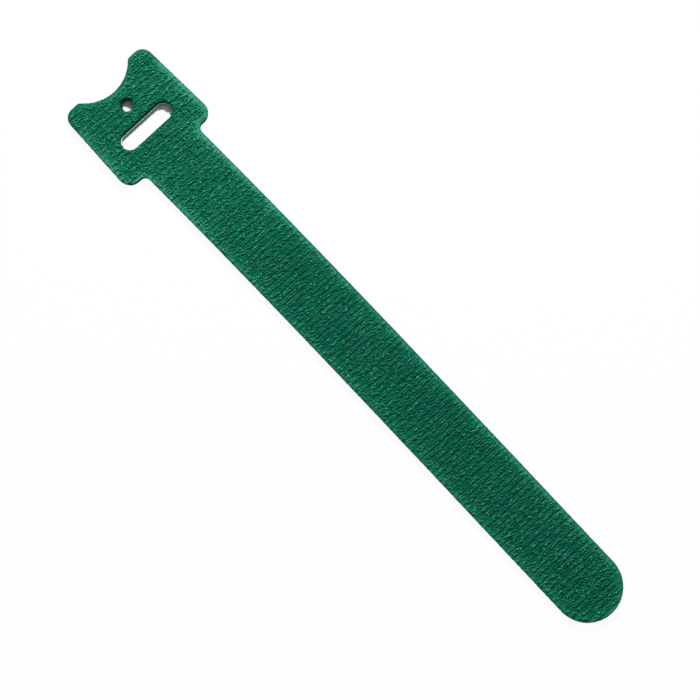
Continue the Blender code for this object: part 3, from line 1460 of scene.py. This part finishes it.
@dataclass
class HookTape:
    """The moulded web under the loop fabric: a thin film with rows of small hooks."""

    outline: DieOutline
    half_length: float
    half_width: float
    strap_half_width: float
    film_top: float
    film_thickness: float = 0.4 * MM
    film_cell: float = 0.5 * MM
    smooth_angle: float = math.radians(40.0)
    rows_on_strap: int = 15
    opening_shifts: tuple[Pair, ...] = ((0.36 * MM, 0.0), (0.52 * MM, 0.32 * MM))
    wall: CutWall = CutWall(
        rows=2,
        raggedness=0.01 * MM,
        seed=51,
        slants=((0.0, 0.0), (0.10 * MM, 0.0), (0.10 * MM, 0.05 * MM)),
    )
    # How pale the cut is near each opening and elsewhere, partly a painted highlight.
    cut_reach: float = 1.0 * MM
    cut_elsewhere: float = 0.2
    hook_pitch: float = 1.05 * MM
    hook_width: float = 0.34 * MM
    ray_start: float = 20.0 * MM

    def build(self) -> list[bpy.types.Object]:
        """Makes and dresses the film and the hooks.

        Returns:
            The pieces, the film first.
        """
        plastic = HookPlasticFinish().build()
        film = self.film(plastic)
        hooks = self.hooks(film, plastic)
        for piece in (film, hooks):
            Lie().bend(piece.data)
        return [film, hooks]

    @property
    def film_bottom(self) -> float:
        """The height of the face that the hooks stand on."""
        return self.film_top - self.film_thickness

    def film(self, plastic: bpy.types.Material) -> bpy.types.Object:
        """The film that carries the hooks, cut to the same outline.

        Args:
            plastic: Its finish.

        Returns:
            The piece. Its attribute "edge" says how far each point is from the cut, and "cut"
            how pale the cut is: most in the slot and least in the hole.
        """
        outline = self.outline.shifted(self.opening_shifts)
        sheet = CutSheet(outline, self.film_cell)
        top = np.full(len(sheet.points), self.film_top)
        made, count = sheet_solid("hook_film", sheet, top, self.film_bottom, self.wall)
        made.data.materials.append(plastic)
        plan = read_vectors(made.data)[:, :2]
        edge = np.maximum(outline.depth(plan), 0.0)
        edge[count:] = 0.0
        nearby = [np.abs(outline.inside(plan, opening)) < self.cut_reach for opening in (1, 2)]
        write_attribute(made.data, "edge", edge)
        # Pale cut, partly a painted highlight: full at the slot, none at the hole.
        write_attribute(made.data, "cut", np.select(nearby, [1.0, 0.0], self.cut_elsewhere))
        made.data.shade_smooth()
        made.data.set_sharp_from_angle(angle=self.smooth_angle)
        return made

    def hook_shape(self) -> bpy.types.Object:
        """One moulded hook, with a thick foot, a neck and a turned-over tip.

        Returns:
            The hook, which hangs from the origin.
        """
        tall = self.film_bottom
        side = [
            (-0.24 * MM, 0.04 * MM),
            (-0.13 * MM, -0.16 * MM),
            (-0.10 * MM, -0.45 * MM),
            (-0.06 * MM, -0.60 * MM),
            (0.04 * MM, -tall),
            (0.18 * MM, -tall),
            (0.30 * MM, -0.58 * MM),
            (0.33 * MM, -0.42 * MM),
            (0.26 * MM, -0.44 * MM),
            (0.19 * MM, -0.54 * MM),
            (0.09 * MM, -0.52 * MM),
            (0.07 * MM, -0.38 * MM),
            (0.13 * MM, -0.14 * MM),
            (0.24 * MM, 0.04 * MM),
        ]
        half = self.hook_width / 2
        points = [(x, y, z) for y in (-half, half) for x, z in side]
        count = len(side)
        faces: list[tuple[int, ...]] = [
            (i, (i + 1) % count, count + (i + 1) % count, count + i) for i in range(count)
        ]
        faces.append(tuple(reversed(range(count))))
        faces.append(tuple(range(count, 2 * count)))
        made = mesh_object("hook_shape", np.array(points), faces)
        turn_outwards(made.data)
        return made

    def hooks(self, film: bpy.types.Object, plastic: bpy.types.Material) -> bpy.types.Object:
        """Rows of hooks along the tie, which face the other way in every second row.

        Args:
            film: The film that they stand on.
            plastic: Their finish.

        Returns:
            The piece, as a plain mesh.
        """
        shape = self.hook_shape()
        row_pitch = 2 * self.strap_half_width / self.rows_on_strap
        tree = GrowingTree("hook_rows", {"Hook pitch": self.hook_pitch, "Row pitch": row_pitch})
        graph = tree.graph
        each_side = int((self.half_width - self.hook_width) / row_pitch)
        columns = int(2 * self.half_length / self.hook_pitch)
        inputs = {
            "Size X": tree.size("Hook pitch") * (columns - 1),
            "Size Y": tree.size("Row pitch") * (2 * each_side),
            "Vertices X": columns,
            "Vertices Y": 2 * each_side + 1,
        }
        grid = graph.read("GeometryNodeMeshGrid", inputs)
        place = graph.read("GeometryNodeInputPosition")
        inputs = {0: place, 1: (0.0, 0.0, self.ray_start)}
        hit = graph.node(
            "GeometryNodeRaycast",
            {
                "Target Geometry": tree.given["Surface"],
                "Attribute": tree.attribute("edge"),
                "Source Position": graph.read("ShaderNodeVectorMath", inputs, operation="ADD"),
                "Ray Direction": (0.0, 0.0, -1.0),
                "Ray Length": 2 * self.ray_start,
            },
            data_type="FLOAT",
        ).outputs
        kept = Value(graph, hit["Is Hit"]) * (Value(graph, hit["Attribute"]) > self.hook_width)
        inputs = {"Geometry": grid, "Selection": 1.0 - kept}
        inside = graph.read("GeometryNodeDeleteGeometry", inputs, domain="POINT")
        inputs = {"Geometry": inside, "Offset": (0.0, 0.0, self.film_bottom)}
        raised = graph.read("GeometryNodeSetPosition", inputs)
        row = graph.axis(place, "Y") / tree.size("Row pitch")
        turn = tree.vector(0.0, 0.0, row.math(Operation.PING_PONG, 1.0) * math.pi)
        inputs = {"Object": shape}
        hook = graph.read(
            "GeometryNodeObjectInfo", inputs, "Geometry", transform_space="ORIGINAL"
        )
        tree.finish(tree.set_out(raised, hook, turn))
        made = tree.grow("hooks", film, plastic)
        bpy.data.objects.remove(shape)
        return made


@dataclass(frozen=True)
class Studio:
    """White paper, a bright surround, a key lamp, a soft panel and a long lens above the tie."""

    target: tuple[float, float, float] = (-0.04 * MM, -1.56 * MM, 0.0)
    distance: float = 900.0 * MM
    lean_to_tip: float = math.radians(4.82)
    lean_to_side: float = math.radians(8.77)
    roll: float = math.radians(46.83)
    focal_pixels: float = 3310.4
    picture_pixels: float = 700.0
    sensor: float = 36.0
    clip_range: Pair = (0.01, 20.0)
    floor_half: float = 1.5
    floor_gap: float = 0.02 * MM
    surround: float = 0.12
    key_power: float = 11.8
    key_size: float = 0.10
    key_height: float = math.radians(42.0)
    panel_power: float = 2.0
    panel_size: float = 1.3
    panel_height: float = math.radians(52.0)
    lamp_bearing: float = math.radians(133.0)
    lamp_distance: float = 1.0

    def build(self) -> None:
        """Makes the floor, the light and the camera."""
        self.floor()
        self.surroundings()
        self.lamp("key_lamp", self.key_power, self.key_size, self.key_height)
        self.lamp("soft_panel", self.panel_power, self.panel_size, self.panel_height)
        self.camera()
        bpy.context.scene.view_settings.view_transform = "Standard"

    def floor(self) -> None:
        """The sheet of paper that the tie lies on."""
        turns = ((-1, -1), (1, -1), (1, 1), (-1, 1))
        corners = [(x * self.floor_half, y * self.floor_half, -self.floor_gap) for x, y in turns]
        paper = mesh_object("paper_floor", np.array(corners), [(0, 1, 2, 3)])
        paper.data.materials.append(PaperFloorFinish().build())

    def surroundings(self) -> None:
        """Even light from all round, behind which the camera sees plain white."""
        world = bpy.data.worlds.new("bright_surround")
        bpy.context.scene.world = world
        world.use_nodes = True
        graph = Graph(world.node_tree)
        soft, white = (
            graph.read("ShaderNodeBackground", {"Color": WHITE, "Strength": strength})
            for strength in (self.surround, 1.0)
        )
        camera = graph.read("ShaderNodeLightPath", output="Is Camera Ray")
        mixed = graph.read("ShaderNodeMixShader", {0: camera, 1: soft, 2: white})
        graph.node("ShaderNodeOutputWorld", {"Surface": mixed})

    def lamp(self, name: str, power: float, size: float, height: float) -> None:
        """A square lamp on the side that the slot's shade comes from.

        Args:
            name: The lamp's name.
            power: Its power in watts.
            size: The length of its side.
            height: How high it stands over the horizon.
        """
        data = bpy.data.lights.new(name, "AREA")
        data.shape = "SQUARE"
        data.size = size
        data.energy = power
        lamp = new_object(name, data)
        level = math.cos(height)
        along = level * math.cos(self.lamp_bearing)
        across = level * math.sin(self.lamp_bearing)
        towards = Vector((along, across, math.sin(height)))
        lamp.location = self.lamp_distance * towards
        lamp.rotation_euler = towards.to_track_quat("Z", "Y").to_euler()

    def camera(self) -> None:
        """The camera: nearly overhead, leaning towards the tip, and turned so the tie lies askew."""
        data = bpy.data.cameras.new("overhead_camera")
        data.sensor_width = self.sensor
        data.lens = self.focal_pixels * self.sensor / self.picture_pixels
        data.clip_start, data.clip_end = self.clip_range
        camera = new_object("overhead_camera", data)
        turned = Matrix.Identity(4)
        for angle, axis in ((self.lean_to_tip, "Y"), (self.lean_to_side, "X"), (self.roll, "Z")):
            turned = turned @ Matrix.Rotation(angle, 4, axis)
        back = turned @ Vector((0.0, 0.0, 1.0))
        place = Vector(self.target) + self.distance * back
        camera.matrix_world = Matrix.Translation(place) @ turned
        bpy.context.scene.camera = camera


def main() -> None:
    """Builds the tie's pieces in order, dresses them and sets up the studio."""
    logging.basicConfig(level=logging.INFO, format="%(message)s")
    loop_low, loop_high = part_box(LOOP_NODE)
    _, hook_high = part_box(HOOK_NODE)
    outline = DieOutline.of_node(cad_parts[LOOP_NODE])
    edge = outline.loops[0]
    strap_half = float(np.abs(edge[edge[:, 0] > 0][:, 1]).max())
    loop_pieces = LoopFabric(outline, loop_high.x, loop_high.y, loop_low.z).build()
    tape = HookTape(outline, loop_high.x, loop_high.y, strap_half, hook_high.z)
    hook_pieces = tape.build()
    for piece in loop_pieces + hook_pieces:
        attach(piece, ROOT)
        triangles = sum(len(p.vertices) - 2 for p in piece.data.polygons)
        LOG.info("%s: %d triangles", piece.name, triangles)
    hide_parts(LOOP_NODE)
    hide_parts(HOOK_NODE)
    outline.area
    Studio().build()


if __name__ == "__main__":
    main()
